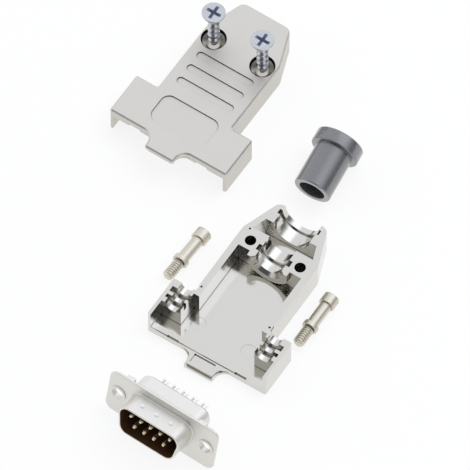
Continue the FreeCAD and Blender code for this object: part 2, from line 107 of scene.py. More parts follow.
def tint(name, hex_colour, use):
    """A colour that a user may change."""
    return bpy.props.FloatVectorProperty(name=name, description=use, subtype="COLOR",
                                         size=3, min=0, max=1,
                                         default=linear(hex_colour))


def size(name, millimetres, use):
    """A length that a user may change."""
    return bpy.props.FloatProperty(name=name, description=use, unit="LENGTH",
                                   subtype="DISTANCE", precision=5,
                                   default=millimetres * MM)


# What a user may change
class HoodSettings(bpy.types.PropertyGroup):
    """Finish of the two castings"""
    cover_colour: tint("Cover", "D5D2CB", "Satin nickel plate of the cover")
    lower_colour: tint("Lower half", "D8D6D0", "Bright nickel plate of the lower half")
    grain: size("Casting grain", 0.5, "Width of the grain left by the casting die")
    edge: size("Edge ease", 0.09, "Width of the eased edges of the castings")


class ScrewSettings(bpy.types.PropertyGroup):
    """Finish and threads of the cover screws and the jackscrews"""
    zinc_colour: tint("Cover screws", "C6C8CC", "Blue zinc plate")
    nickel_colour: tint("Jackscrews", "D9D4C5", "Nickel plate with a warm tone")
    thread_pitch: size("Cover screw pitch", 2.04, "Rise of the coarse thread in one turn")
    thread_core: size("Cover screw core", 0.97, "Radius under the coarse thread")
    jack_pitch: size("Jackscrew pitch", 0.635, "Rise of the fine thread in one turn")
    jack_core: size("Jackscrew core", 1.16, "Radius under the fine thread")
    turning_lines: size("Turning lines", 0.35, "Spacing of the marks of the lathe tool")


class GrommetSettings(bpy.types.PropertyGroup):
    """Colour and sizes of the rubber grommet"""
    colour: tint("Rubber", "505054", "Grey moulded rubber")
    sleeve: size("Sleeve radius", 4.7, "Outside of the sleeve")
    bore: size("Bore radius", 3.25, "Way for the cable")
    flange: size("Flange radius", 6.06, "Outside of the flange")
    length: size("Length", 14.5, "Whole length")
    flange_length: size("Flange length", 3.42, "Length of the flange")
    edge: size("Edge radius", 0.33, "Rounding of the moulded edges")


class PlugSettings(bpy.types.PropertyGroup):
    """Finish of the plug's shells, insulator and contacts"""
    tin_colour: tint("Shells", "E8E6E0", "Tin plate on drawn steel")
    plastic_colour: tint("Insulator", "2C170A", "Dark brown moulded plastic")
    gold_colour: tint("Pins", "EADBBB", "Gold flash on the pins")
    cup_colour: tint("Solder cups", "F6F4F0", "Tin plate on the solder cups")
    edge: size("Edge ease", 0.1, "Width of the eased edges of the stamped shells")


class StageSettings(bpy.types.PropertyGroup):
    """Floor and lamp"""
    floor_colour: tint("Floor", "F8F8F8", "Plain pale floor")
    span: size("Floor size", 3000.0, "Side of the floor")
    lamp_size: size("Lamp size", 620.0, "Side of the soft lamp")
    lamp_height: size("Lamp height", 900.0, "Height of the soft lamp above the set")


# Colours and nodes
def opaque(colour):
    """A colour with alpha, as a socket takes it."""
    return tuple(colour) + (1.0,)


def shaded(colour, factor):
    """A colour darker or lighter by a factor, with alpha."""
    return opaque(min(1.0, channel * factor) for channel in colour)


def feed(tree, node, links):
    """Lead sockets into a node's inputs."""
    for key, source in links.items():
        tree.links.new(source, node.inputs[key])


def add(tree, kind, settings=None, links=None):
    """Add one node, with its settings and with what feeds its sockets."""
    made = tree.nodes.new(kind)
    for key, value in (settings or {}).items():
        if isinstance(key, int) or key in made.inputs:
            made.inputs[key].default_value = value
        else:
            setattr(made, key, value)
    feed(tree, made, links or {})
    return made


def opened(name):
    """A new material: its tree, its Principled shader and the place on the object."""
    made = bpy.data.materials.new(name)
    made.use_nodes = True
    tree = made.node_tree
    tree.nodes.clear()
    shader = add(tree, "ShaderNodeBsdfPrincipled")
    add(tree, "ShaderNodeOutputMaterial", links={"Surface": shader.outputs["BSDF"]})
    place = add(tree, "ShaderNodeTexCoord").outputs["Object"]
    return made, tree, shader, place


def painted_shade(tree, colour, dark, reach, full, gone):
    """Paint shade into a colour where other faces stand nearer than the reach.

    full and gone are the shares of open sky, 0 to 1, at which the dark colour is
    whole and at which it has ended.
    """
    sky = add(tree, "ShaderNodeAmbientOcclusion",
              {"Distance": reach, "samples": 8, "only_local": True}).outputs["AO"]
    clear = add(tree, "ShaderNodeMapRange", {"From Min": full, "From Max": gone},
                {"Value": sky}).outputs["Result"]
    return add(tree, "ShaderNodeMix",
               {"data_type": "RGBA", FIRST: opaque(linear(dark))},
               {"Factor": clear, SECOND: colour}).outputs[BLEND]


# Materials
def satin_nickel(settings):
    """Satin nickel plate on a zinc die casting."""
    made, tree, shader, place = opened("satin_nickel_on_zinc_casting")
    shader.inputs["Metallic"].default_value = 1.0
    # The plating dulls a little where the casting skin is coarser, so the sheen
    # drifts slowly across the large faces.
    drift = add(tree, "ShaderNodeTexNoise", {"Scale": 1 / (9 * MM), "Detail": 3.0},
                {"Vector": place}).outputs["Fac"]
    plate = add(tree, "ShaderNodeMix",
                {"data_type": "RGBA", FIRST: shaded(settings.cover_colour, 0.985),
                 SECOND: shaded(settings.cover_colour, 1.01)},
                {"Factor": drift}).outputs[BLEND]
    # Painted shade: thin dark lines in the creases, and dark pockets in the deep corners and
    # the countersinks.
    plate = painted_shade(tree, plate, "7E7A70", reach=0.35 * MM, full=0.45, gone=0.8)
    plate = painted_shade(tree, plate, "17140D", reach=3 * MM, full=0.3, gone=0.72)
    dulness = add(tree, "ShaderNodeMapRange", {**NOISE_SPAN, "To Min": 0.43, "To Max": 0.5},
                  {"Value": drift}).outputs["Result"]
    # The grain of the die is too fine to show, so it is drawn a little coarser.
    grain = add(tree, "ShaderNodeTexNoise", {"Scale": 1 / settings.grain, "Detail": 2.0},
                {"Vector": place}).outputs["Fac"]
    bump = add(tree, "ShaderNodeBump", {"Strength": 0.12, "Distance": 0.01 * MM},
               {"Height": grain}).outputs["Normal"]
    feed(tree, shader, {"Base Color": plate, "Roughness": dulness, "Normal": bump})
    return made


def bright_nickel(settings):
    """Bright nickel plate on a zinc die casting."""
    made, tree, shader, place = opened("bright_nickel_on_zinc_casting")
    shader.inputs["Metallic"].default_value = 1.0
    drift = add(tree, "ShaderNodeTexNoise", {"Scale": 1 / (6 * MM), "Detail": 3.0},
                {"Vector": place}).outputs["Fac"]
    plate = add(tree, "ShaderNodeMix",
                {"data_type": "RGBA", FIRST: shaded(settings.lower_colour, 0.98),
                 SECOND: shaded(settings.lower_colour, 1.01)},
                {"Factor": drift}).outputs[BLEND]
    # Painted shade: the pockets, the lines where walls meet the floor and the blind holes are
    # darkened, the holes almost to black.
    plate = painted_shade(tree, plate, "4A453C", reach=0.35 * MM, full=0.45, gone=0.8)
    plate = painted_shade(tree, plate, "3A352A", reach=1.6 * MM, full=0.02, gone=0.35)
    plate = painted_shade(tree, plate, "0A0908", reach=5 * MM, full=0.05, gone=0.14)
    # Polished plate mirrors its own walls; inside the pockets it is duller.
    sky = add(tree, "ShaderNodeAmbientOcclusion",
              {"Distance": 4 * MM, "samples": 8, "only_local": True}).outputs["AO"]
    dulness = add(tree, "ShaderNodeMapRange",
                  {"From Min": 0.3, "From Max": 0.8, "To Min": 0.23, "To Max": 0.12},
                  {"Value": sky}).outputs["Result"]
    # Faint unevenness of the casting breaks the mirror up, and the grain of the die
    # dims it; the grain is drawn coarser than it is.
    waves = add(tree, "ShaderNodeTexNoise", {"Scale": 1 / (1.6 * MM), "Detail": 2.0},
                {"Vector": place}).outputs["Fac"]
    flow = add(tree, "ShaderNodeBump", {"Strength": 0.5, "Distance": 0.03 * MM},
               {"Height": waves}).outputs["Normal"]
    grain = add(tree, "ShaderNodeTexNoise", {"Scale": 1 / settings.grain, "Detail": 2.0},
                {"Vector": place}).outputs["Fac"]
    bump = add(tree, "ShaderNodeBump", {"Strength": 0.06, "Distance": 0.01 * MM},
               {"Height": grain, "Normal": flow}).outputs["Normal"]
    feed(tree, shader, {"Base Color": plate, "Roughness": dulness, "Normal": bump})
    return made


def countersunk_nickel(settings):
    """Nickel plate in the countersinks, with a painted black reflection under their rims."""
    made, tree, shader, place = opened("nickel_in_countersink")
    shader.inputs["Metallic"].default_value = 1.0
    shader.inputs["Roughness"].default_value = 0.3
    height = add(tree, "ShaderNodeSeparateXYZ", links={"Vector": place}).outputs["Z"]
    # Painted reflection: the straight part and the start of the cone are painted black for
    # the hole that they mirror, so they draw a black crescent.
    above = add(tree, "ShaderNodeMapRange",
                {"From Min": COVER_TOP - 1.05 * MM, "From Max": COVER_TOP - 0.85 * MM},
                {"Value": height}).outputs["Result"]
    plate = add(tree, "ShaderNodeMix",
                {"data_type": "RGBA", FIRST: opaque(settings.cover_colour),
                 SECOND: opaque(linear("12100B"))}, {"Factor": above}).outputs[BLEND]
    feed(tree, shader, {"Base Color": plate})
    return made


def turned_nickel(settings, pose):
    """Nickel plate on turned steel, with the rings left by the lathe tool."""
    made, tree, shader, place = opened("nickel_on_turned_steel")
    shader.inputs["Metallic"].default_value = 1.0
    # The rings run round the screw's own axis, which is z in its own place.
    where, turn = pose.decompose()[:2]
    own = add(tree, "ShaderNodeMapping",
              {"vector_type": "TEXTURE", "Location": where, "Rotation": turn.to_euler()},
              {"Vector": place}).outputs["Vector"]
    along = add(tree, "ShaderNodeSeparateXYZ", links={"Vector": own}).outputs["Z"]
    marks = add(tree, "ShaderNodeTexNoise",
                {"noise_dimensions": "1D", "Scale": 1 / settings.turning_lines,
                 "Detail": 2.0}, {"W": along}).outputs["Fac"]
    plate = add(tree, "ShaderNodeMix",
                {"data_type": "RGBA", FIRST: shaded(settings.nickel_colour, 0.95),
                 SECOND: shaded(settings.nickel_colour, 1.04)},
                {"Factor": marks}).outputs[BLEND]
    # Painted shade: darker under the head, at the collar and between the threads.
    plate = painted_shade(tree, plate, "2A2417", reach=0.9 * MM, full=0.1, gone=0.75)
    dulness = add(tree, "ShaderNodeMapRange", {**NOISE_SPAN, "To Min": 0.36, "To Max": 0.46},
                  {"Value": marks}).outputs["Result"]
    # Each ring of the tool is a shallow groove that draws a line round the piece. The
    # rings are drawn about three times as coarse as the tool's feed, or none would show.
    bump = add(tree, "ShaderNodeBump", {"Strength": 0.35, "Distance": 0.03 * MM},
               {"Height": marks}).outputs["Normal"]
    feed(tree, shader, {"Base Color": plate, "Roughness": dulness, "Normal": bump})
    return made


def blue_zinc(settings):
    """Blue passivated zinc plate on steel."""
    made, tree, shader, place = opened("blue_zinc_on_steel")
    shader.inputs["Metallic"].default_value = 1.0
    # The passivation film shifts between a cool and a neutral tone in patches.
    patches = add(tree, "ShaderNodeTexNoise", {"Scale": 1 / (1.6 * MM), "Detail": 3.0},
                  {"Vector": place}).outputs["Fac"]
    plate = add(tree, "ShaderNodeMix",
                {"data_type": "RGBA", FIRST: shaded(settings.zinc_colour, 0.9),
                 SECOND: shaded(settings.zinc_colour, 1.08)},
                {"Factor": patches}).outputs[BLEND]
    # Painted shade: darker blue-grey in the cross recess and between the thread's flanks.
    plate = painted_shade(tree, plate, "66718A", reach=2 * MM, full=0.2, gone=0.75)
    dulness = add(tree, "ShaderNodeMapRange", {**NOISE_SPAN, "To Min": 0.2, "To Max": 0.32},
                  {"Value": patches}).outputs["Result"]
    # Crystals of the plate, drawn coarser than they are, keep the glints soft.
    crystals = add(tree, "ShaderNodeTexNoise", {"Scale": 1 / (0.4 * MM), "Detail": 2.0},
                   {"Vector": place}).outputs["Fac"]
    bump = add(tree, "ShaderNodeBump", {"Strength": 0.1, "Distance": 0.01 * MM},
               {"Height": crystals}).outputs["Normal"]
    feed(tree, shader, {"Base Color": plate, "Roughness": dulness, "Normal": bump})
    return made


def recess_film():
    """Thick blue passivation film in the driver recess, half dull."""
    made, tree, shader, place = opened("blue_film_in_recess")
    shader.inputs["Metallic"].default_value = 0.3
    shader.inputs["Roughness"].default_value = 0.5
    # The film pools unevenly, so it is darker and bluer in patches.
    pools = add(tree, "ShaderNodeTexNoise", {"Scale": 1 / (0.7 * MM), "Detail": 3.0},
                {"Vector": place}).outputs["Fac"]
    film = add(tree, "ShaderNodeMix",
               {"data_type": "RGBA", FIRST: opaque(linear("6F7C96")),
                SECOND: opaque(linear("A9B4C6"))}, {"Factor": pools}).outputs[BLEND]
    feed(tree, shader, {"Base Color": film})
    return made


def moulded_rubber(settings, pose):
    """Grey nitrile rubber, moulded, with a faint bloom on its skin."""
    made, tree, shader, place = opened("moulded_nitrile_rubber")
    # Wax from the compound lies on the skin as a soft, slightly greasy shine.
    shader.inputs["IOR"].default_value = 1.52
    shader.inputs["Specular IOR Level"].default_value = 1.0
    shader.inputs["Coat Weight"].default_value = 1.0
    shader.inputs["Coat IOR"].default_value = 1.9
    shader.inputs["Coat Roughness"].default_value = 0.16
    where, turn = pose.decompose()[:2]
    own = add(tree, "ShaderNodeMapping",
              {"vector_type": "TEXTURE", "Location": where, "Rotation": turn.to_euler()},
              {"Vector": place}).outputs["Vector"]
    # The bloom leaves paler specks, drawn coarse enough to show.
    bloom = add(tree, "ShaderNodeTexNoise", {"Scale": 1 / (0.6 * MM), "Detail": 3.0},
                {"Vector": own}).outputs["Fac"]
    rubber = add(tree, "ShaderNodeMix",
                 {"data_type": "RGBA", FIRST: shaded(settings.colour, 0.72),
                  SECOND: shaded(settings.colour, 1.3)},
                 {"Factor": bloom}).outputs[BLEND]
    # The end faces are drawn paler than the skin.
    along = add(tree, "ShaderNodeSeparateXYZ", links={"Vector": own}).outputs["Z"]
    off_middle = add(tree, "ShaderNodeMath", {"operation": "ABSOLUTE"}, {0: along}).outputs[0]
    half = settings.length / 2
    end = add(tree, "ShaderNodeMapRange",
              {"From Min": half - 0.25 * MM, "From Max": half - 0.1 * MM},
              {"Value": off_middle}).outputs["Result"]
    rubber = add(tree, "ShaderNodeMix",
                 {"data_type": "RGBA", SECOND: shaded(settings.colour, 2.4)},
                 {"Factor": end, FIRST: rubber}).outputs[BLEND]
    # Painted shade: a dark line under the flange, and dark down the bore.
    rubber = painted_shade(tree, rubber, "0E0E0E", reach=0.8 * MM, full=0.45, gone=0.9)
    rubber = painted_shade(tree, rubber, "0B0A09", reach=6 * MM, full=0.3, gone=0.75)
    dulness = add(tree, "ShaderNodeMapRange", {**NOISE_SPAN, "To Min": 0.26, "To Max": 0.36},
                  {"Value": bloom}).outputs["Result"]
    # The skin copies the eroded wall of the mould, drawn coarser than it is.
    skin_grain = add(tree, "ShaderNodeTexNoise",
                     {"Scale": 1 / (0.35 * MM), "Detail": 3.0},
                     {"Vector": own}).outputs["Fac"]
    bump = add(tree, "ShaderNodeBump", {"Strength": 0.3, "Distance": 0.03 * MM},
               {"Height": skin_grain}).outputs["Normal"]
    feed(tree, shader, {"Base Color": rubber, "Roughness": dulness, "Normal": bump})
    return made


def tin_plate(settings):
    """Tin plate on deep-drawn steel."""
    made, tree, shader, place = opened("tin_plate_on_drawn_steel")
    # The matt skin of the tin scatters part of the light, so it isn't all mirror.
    shader.inputs["Metallic"].default_value = 0.85
    # Drawing stretches the plate, so its tone and shine change from patch to patch.
    patches = add(tree, "ShaderNodeTexNoise", {"Scale": 1 / (2.2 * MM), "Detail": 3.0},
                  {"Vector": place}).outputs["Fac"]
    plate = add(tree, "ShaderNodeMix",
                {"data_type": "RGBA", FIRST: shaded(settings.tin_colour, 0.96),
                 SECOND: shaded(settings.tin_colour, 1.02)},
                {"Factor": patches}).outputs[BLEND]
    # Painted shade: the corners that the shells leave are darkened.
    plate = painted_shade(tree, plate, "3A3731", reach=0.8 * MM, full=0.4, gone=0.9)
    dulness = add(tree, "ShaderNodeMapRange", {**NOISE_SPAN, "To Min": 0.38, "To Max": 0.46},
                  {"Value": patches}).outputs["Result"]
    # The drawing die leaves faint ripples.
    ripples = add(tree, "ShaderNodeTexNoise", {"Scale": 1 / (0.6 * MM), "Detail": 2.0},
                  {"Vector": place}).outputs["Fac"]
    bump = add(tree, "ShaderNodeBump", {"Strength": 0.1, "Distance": 0.01 * MM},
               {"Height": ripples}).outputs["Normal"]
    feed(tree, shader, {"Base Color": plate, "Roughness": dulness, "Normal": bump})
    return made


def tin_inside():
    """Tin plate inside the front shell, half dull, painted in a dark brown that stands for a
    reflection of the insulator and for shade.
    """
    made, tree, shader, place = opened("tin_inside_shell_painted_reflection")
    shader.inputs["Metallic"].default_value = 0.5
    shader.inputs["Roughness"].default_value = 0.4
    # Painted reflection and shade: the brown of the insulator that fills the mirror, in
    # blotches that vary at random.
    flux = add(tree, "ShaderNodeTexNoise", {"Scale": 1 / (0.8 * MM), "Detail": 3.0},
               {"Vector": place}).outputs["Fac"]
    plate = add(tree, "ShaderNodeMix",
                {"data_type": "RGBA", FIRST: opaque(linear("543A26")),
                 SECOND: opaque(linear("6E4E36"))}, {"Factor": flux}).outputs[BLEND]
    feed(tree, shader, {"Base Color": plate})
    return made


def dark_plastic(settings):
    """Glass-filled polyester, injection moulded."""
    made, tree, shader, place = opened("moulded_glass_filled_polyester")
    shader.inputs["IOR"].default_value = 1.57
    shader.inputs["Specular IOR Level"].default_value = 0.1
    # Glass fibre near the skin shows as faint lighter streaks in the dark resin.
    lying = add(tree, "ShaderNodeMapping", {"Scale": (1.0, 1.0, 3.5)},
                {"Vector": place}).outputs["Vector"]
    fibres = add(tree, "ShaderNodeTexNoise", {"Scale": 1 / (0.9 * MM), "Detail": 3.0},
                 {"Vector": lying}).outputs["Fac"]
    resin = add(tree, "ShaderNodeMix",
                {"data_type": "RGBA", FIRST: shaded(settings.plastic_colour, 0.7),
                 SECOND: shaded(settings.plastic_colour, 1.5)},
                {"Factor": fibres}).outputs[BLEND]
    dulness = add(tree, "ShaderNodeMapRange", {**NOISE_SPAN, "To Min": 0.32, "To Max": 0.45},
                  {"Value": fibres}).outputs["Result"]
    # Ends of fibres roughen the skin, drawn coarser than they are.
    skin_grain = add(tree, "ShaderNodeTexNoise",
                     {"Scale": 1 / (0.3 * MM), "Detail": 2.0},
                     {"Vector": place}).outputs["Fac"]
    bump = add(tree, "ShaderNodeBump", {"Strength": 0.15, "Distance": 0.01 * MM},
               {"Height": skin_grain}).outputs["Normal"]
    feed(tree, shader, {"Base Color": resin, "Roughness": dulness, "Normal": bump})
    return made


def gold_and_tin(settings):
    """Copper alloy contacts: gold flash on the pins, tin on the solder cups."""
    made, tree, shader, place = opened("gold_flash_and_tin_on_copper_alloy")
    shader.inputs["Metallic"].default_value = 1.0
    # Flash gold is thin, so the pins are only half bright and worn in specks.
    wear = add(tree, "ShaderNodeTexNoise", {"Scale": 1 / (0.5 * MM), "Detail": 3.0},
               {"Vector": place}).outputs["Fac"]
    pin = add(tree, "ShaderNodeMix",
              {"data_type": "RGBA", FIRST: shaded(settings.gold_colour, 0.9),
               SECOND: shaded(settings.gold_colour, 1.08)},
              {"Factor": wear}).outputs[BLEND]
    # Inside the insulator, which hides the change, the plate turns from gold to tin.
    flange_y = MOUNTS["flange_hole_left"]["pos_m"][1]
    depth = add(tree, "ShaderNodeSeparateXYZ", links={"Vector": place}).outputs["Y"]
    back = add(tree, "ShaderNodeMapRange",
               {"From Min": flange_y + 1.0 * MM, "From Max": flange_y + 2.0 * MM},
               {"Value": depth}).outputs["Result"]
    plate = add(tree, "ShaderNodeMix",
                {"data_type": "RGBA", SECOND: opaque(settings.cup_colour)},
                {"Factor": back, FIRST: pin}).outputs[BLEND]
    dulness = add(tree, "ShaderNodeMapRange", {**NOISE_SPAN, "To Min": 0.34, "To Max": 0.44},
                  {"Value": wear}).outputs["Result"]
    feed(tree, shader, {"Base Color": plate, "Roughness": dulness})
    return made


# Meshes
def smooth(mesh):
    """Smooth shading, broken at sharp edges."""
    mesh.polygons.foreach_set("use_smooth", [True] * len(mesh.polygons))
    mesh.set_sharp_from_angle(angle=math.radians(25))


def settled(work, name):
    """Turn finished work into a mesh."""
    mesh = bpy.data.meshes.new(name)
    work.to_mesh(mesh)
    work.free()
    return mesh


def walled(work, front, back):
    """Close the form between two loops of corners."""
    work.faces.new(front)
    work.faces.new(list(reversed(back)))
    for i in range(len(front)):
        j = (i + 1) % len(front)
        work.faces.new((front[i], back[i], back[j], front[j]))


def skin(work, rows, columns=72):
    """A closed turned skin; each row gives (radius, height) for a share of a turn."""
    weld = 0.0005 * MM
    grid = []
    for row in rows:
        ring = []
        for i in range(columns + 1):
            share = i / columns
            radius, height = row(share)
            angle = 2 * math.pi * share
            ring.append(work.verts.new((radius * math.cos(angle),
                                        radius * math.sin(angle), height)))
        grid.append(ring)
    for low, high in zip(grid, grid[1:]):
        for i in range(columns):
            work.faces.new((low[i], low[i + 1], high[i + 1], high[i]))
    bmesh.ops.remove_doubles(work, verts=work.verts, dist=weld)
    bmesh.ops.dissolve_degenerate(work, edges=work.edges, dist=weld)
    bmesh.ops.recalc_face_normals(work, faces=work.faces)


def rings(profile):
    """Plain rows of a turned skin from (radius, height) points."""
    return [lambda share, radius=radius, height=height: (radius, height)
            for radius, height in profile]


def rounded(corners):
    """Points of a profile whose (radius, height, rounding) corners are rounded."""
    steps = 5
    points = []
    for i, (radius, height, round_radius) in enumerate(corners):
        here = Vector((radius, height))
        if round_radius <= 0:
            points.append(tuple(here))
            continue
        before = (Vector(corners[i - 1][:2]) - here).normalized()
        after = (Vector(corners[(i + 1) % len(corners)][:2]) - here).normalized()
        half = before.angle(after) / 2
        cut = round_radius / math.tan(half)
        centre = here + (before + after).normalized() * round_radius / math.sin(half)
        first = here + before * cut - centre
        last = here + after * cut - centre
        sweep = first.angle_signed(last)
        for step in range(steps + 1):
            turn = Matrix.Rotation(-sweep * step / steps, 2)
            points.append(tuple(centre + turn @ first))
    return points


def tapered(radius, left, end, run):
    """Radii that grow from a share of the radius, at one end, to the whole radius."""
    def at(height):
        return radius * min(1.0, left + (1 - left) * abs(end - height) / run)
    return at


def thread_rows(core, crest, pitch, start, stop, run_in, run_out):
    """Rows of a right-hand thread; core and crest give radii for a height."""
    # One tooth: shares of the pitch, and how far it has risen from core to crest
    tooth = ((0.0, 0.0), (0.18, 0.0), (0.46, 1.0), (0.58, 1.0), (0.86, 0.0))
    rows = []
    for turn in range(-1, math.ceil((stop - start) / pitch) + 1):
        for share_of_pitch, rise in tooth:
            def row(share, base=start + pitch * (turn + share_of_pitch), rise=rise):
                height = base + pitch * share
                held = min(max(height, start), stop)
                fade = min(1.0, (held - start) / run_in, (stop - held) / run_out)
                return core(held) + (crest(held) - core(held)) * rise * max(fade, 0.0), held
            rows.append(row)
    return rows


def cut_away(made, cutter_mesh):
    """Take a cutter's form out of a piece."""
    cutter = bpy.data.objects.new("cutter", cutter_mesh)
    bpy.context.collection.objects.link(cutter)
    cutter.matrix_world = made.matrix_world
    tool = made.modifiers.new("Cut", "BOOLEAN")
    tool.operation = "DIFFERENCE"
    tool.solver = "EXACT"
    tool.object = cutter
    bpy.context.view_layer.update()
    graph = bpy.context.evaluated_depsgraph_get()
    cut = bpy.data.meshes.new_from_object(made.evaluated_get(graph))
    made.modifiers.clear()
    made.data = cut
    bpy.data.objects.remove(cutter)


def placed(name, mesh, material, pose=None, cutter=None):
    """Put a mesh in the scene, riding on the body; cut and pose go into the mesh."""
    made = bpy.data.objects.new(name, mesh)
    bpy.context.collection.objects.link(made)
    made.data.materials.clear()
    made.data.materials.append(material)
    if cutter is not None:
        cut_away(made, cutter)
    if pose is not None:
        made.data.transform(pose)
    bpy.context.view_layer.update()
    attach(made, "root")
    return made


def eased_copy(node, name, material, width, shape=None):
    """A copy of a CAD node with flat faces whole again and its edges eased."""
    mesh = frame["nodes"][node].data.copy()
    work = bmesh.new()
    work.from_mesh(mesh)
    bmesh.ops.remove_doubles(work, verts=work.verts, dist=0.001 * MM)
    bmesh.ops.dissolve_limit(work, angle_limit=math.radians(0.6), verts=work.verts,
                             edges=work.edges)
    work.to_mesh(mesh)
    work.free()
    made = placed(name, mesh, material)
    if shape is not None:
        shape(made)
    smooth(made.data)
    ease = made.modifiers.new("Eased edges", "BEVEL")
    ease.width = width
    ease.segments = 2
    ease.limit_method = "ANGLE"
    ease.angle_limit = math.radians(40)
    ease.use_clamp_overlap = True
    flat = made.modifiers.new("Flat faces", "WEIGHTED_NORMAL")
    flat.keep_sharp = True
    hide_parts(node)
    return made


def dressed(node, material):
    """Give a CAD node its material."""
    data = frame["nodes"][node].data
    data.materials.clear()
    data.materials.append(material)
    smooth(data)


def marked(made, material, chosen):
    """Give the chosen faces of a piece a second material."""
    made.data.materials.append(material)
    for face in made.data.polygons:
        if chosen(face):
            face.material_index = 1


def middle_of(node):
    """Middle of a node, seen from above."""
    low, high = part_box(node)
    return (low[0] + high[0]) / 2, (low[1] + high[1]) / 2


def pose_of(mount, point):
    """Matrix whose z runs along a mount's axis, with a given point as origin."""
    along = Vector(MOUNTS[mount]["axis"])
    turn = Vector((0, 0, 1)).rotation_difference(along)
    return Matrix.Translation(point) @ turn.to_matrix().to_4x4()


# Hood
def ease_ridge(mesh):
    """Ease the ridge across the mouth of the lower half along its top front edge."""
    ridge_top = 2.47 * MM
    width = 0.18 * MM
    near = 0.01 * MM
    work = bmesh.new()
    work.from_mesh(mesh)
    ridge = [edge for edge in work.edges
             if all(abs(vert.co.y) < near and abs(vert.co.z - ridge_top) < near
                    for vert in edge.verts)]
    bmesh.ops.bevel(work, geom=ridge, offset=width, segments=1, affect="EDGES")
    work.to_mesh(mesh)
    work.free()


def saddle_cutter():
    """What is taken off both lower corners of the saddle to make its front round."""
    axis_height = 7.795 * MM
    radius = 6.3 * MM
    floor = 1.34 * MM
    side = 5.6 * MM
    beyond = side + 0.3 * MM
    front = 25.9 * MM
    back = 27.44 * MM
    steps = 12
    # Angles from straight down: the round runs from the side wall to just beside
    # the middle, where a plain step takes it to the floor.
    first = math.asin(side / radius)
    last = 0.15
    plan = [(beyond, floor), (beyond, axis_height - radius * math.cos(first))]
    for step in range(steps + 1):
        angle = first + (last - first) * step / steps
        plan.append((radius * math.sin(angle), axis_height - radius * math.cos(angle)))
    plan.append((radius * math.sin(last), floor))
    work = bmesh.new()
    for hand in (-1, 1):
        walled(work, [work.verts.new((hand * x, front, z)) for x, z in plan],
               [work.verts.new((hand * x, back, z)) for x, z in plan])
    bmesh.ops.recalc_face_normals(work, faces=work.faces)
    return settled(work, "saddle_cutter")


def shape_lower_half(made):
    """Small forms of the lower half that are too fine for the solid."""
    ease_ridge(made.data)
    cut_away(made, saddle_cutter())


class HOOD_OT_halves(bpy.types.Operator):
    """Dress both castings of the hood"""
    bl_idname = "hood.halves"
    bl_label = "Hood halves"

    def execute(self, context):
        settings = context.scene.hood_settings
        cover = eased_copy("upper_shell", "hood_cover",
                           satin_nickel(settings), settings.edge)
        axes = [middle_of("cover_screw_" + side) for side in ("left", "right")]

        def in_countersink(face):
            near = min(math.dist(axis, face.center[:2]) for axis in axes)
            return near < COUNTERSINK_REACH and face.center.z < COVER_TOP - HAIR

        marked(cover, countersunk_nickel(settings), in_countersink)
        eased_copy("lower_shell", "hood_lower_half",
                   bright_nickel(settings), settings.edge, shape_lower_half)
        return {"FINISHED"}


# Screws
def recess_cutter(head_top):
    """A cross with four tapering arms, open upwards."""
    work = bmesh.new()
    loops = []
    for height, half, thick in (
            (head_top + 0.1 * MM, RECESS_SPAN / 2, RECESS_WIDTH / 2),
            (head_top - RECESS_DEPTH, RECESS_WIDTH * 0.7, RECESS_WIDTH * 0.35)):
        loop = []
        for quarter in range(4):
            spin = Matrix.Rotation(math.pi / 2 * quarter, 3, "Z")
            loop += [work.verts.new(spin @ Vector((x, y, height)))
                     for x, y in ((half, -thick), (half, thick), (thick, thick))]
        loops.append(loop)
    walled(work, *loops)
    bmesh.ops.recalc_face_normals(work, faces=work.faces)
    return settled(work, "recess_cutter")


def cover_screw_mesh(settings, length, head):
    """Countersunk screw with a coarse thread, point at height 0."""
    core = settings.thread_core
    crest = 1.43 * MM
    point = 1.8 * MM
    tip = 0.1 * MM
    rim = 0.29 * MM
    ease = 0.08 * MM
    # The cone under the head is a little slimmer than a right angle.
    neck = length - rim - (head - crest) * 1.1
    core_at = tapered(core, left=0.35, end=0, run=point)
    crest_at = tapered(crest, left=0.42, end=0, run=point)
    work = bmesh.new()
    rows = rings([(0, 0), (core_at(0) * 0.8, 0), (core_at(0), tip)])
    rows += thread_rows(core_at, crest_at, settings.thread_pitch, start=tip,
                        stop=neck - 0.5 * MM, run_in=0.8 * MM, run_out=0.9 * MM)
    rows += rings([(core, neck - 0.4 * MM), (crest * 0.9, neck),
                   (head - 0.1 * MM, length - rim - 0.05 * MM), (head, length - rim),
                   (head, length - ease), (head - ease, length - 0.01 * MM),
                   (head * 0.8, length), (0, length)])
    skin(work, rows)
    return settled(work, "cover_screw_mesh")


class HOOD_OT_cover_screws(bpy.types.Operator):
    """Make the two countersunk screws that stand in the cover"""
    bl_idname = "hood.cover_screws"
    bl_label = "Cover screws"

    def execute(self, context):
        settings = context.scene.screw_settings
        plate = blue_zinc(settings)
        film = recess_film()
        # How far past the recess its own faces are looked for
        margin = 0.1 * MM
        for side in ("left", "right"):
            node = "cover_screw_" + side
            low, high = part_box(node)
            axis = middle_of(node)
            length = high[2] - low[2]
            mesh = cover_screw_mesh(settings, length, head=(high[0] - low[0]) / 2)
            made = placed("zinc_" + node, mesh, plate,
                          Matrix.Translation((*axis, low[2])), recess_cutter(length))

            def in_recess(face):
                depth = high[2] - face.center.z
                across = math.dist(axis, face.center[:2])
                return (HAIR < depth < RECESS_DEPTH + margin
                        and across < RECESS_SPAN / 2 + margin)

            marked(made, film, in_recess)
            smooth(made.data)
            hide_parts(node)
        return {"FINISHED"}


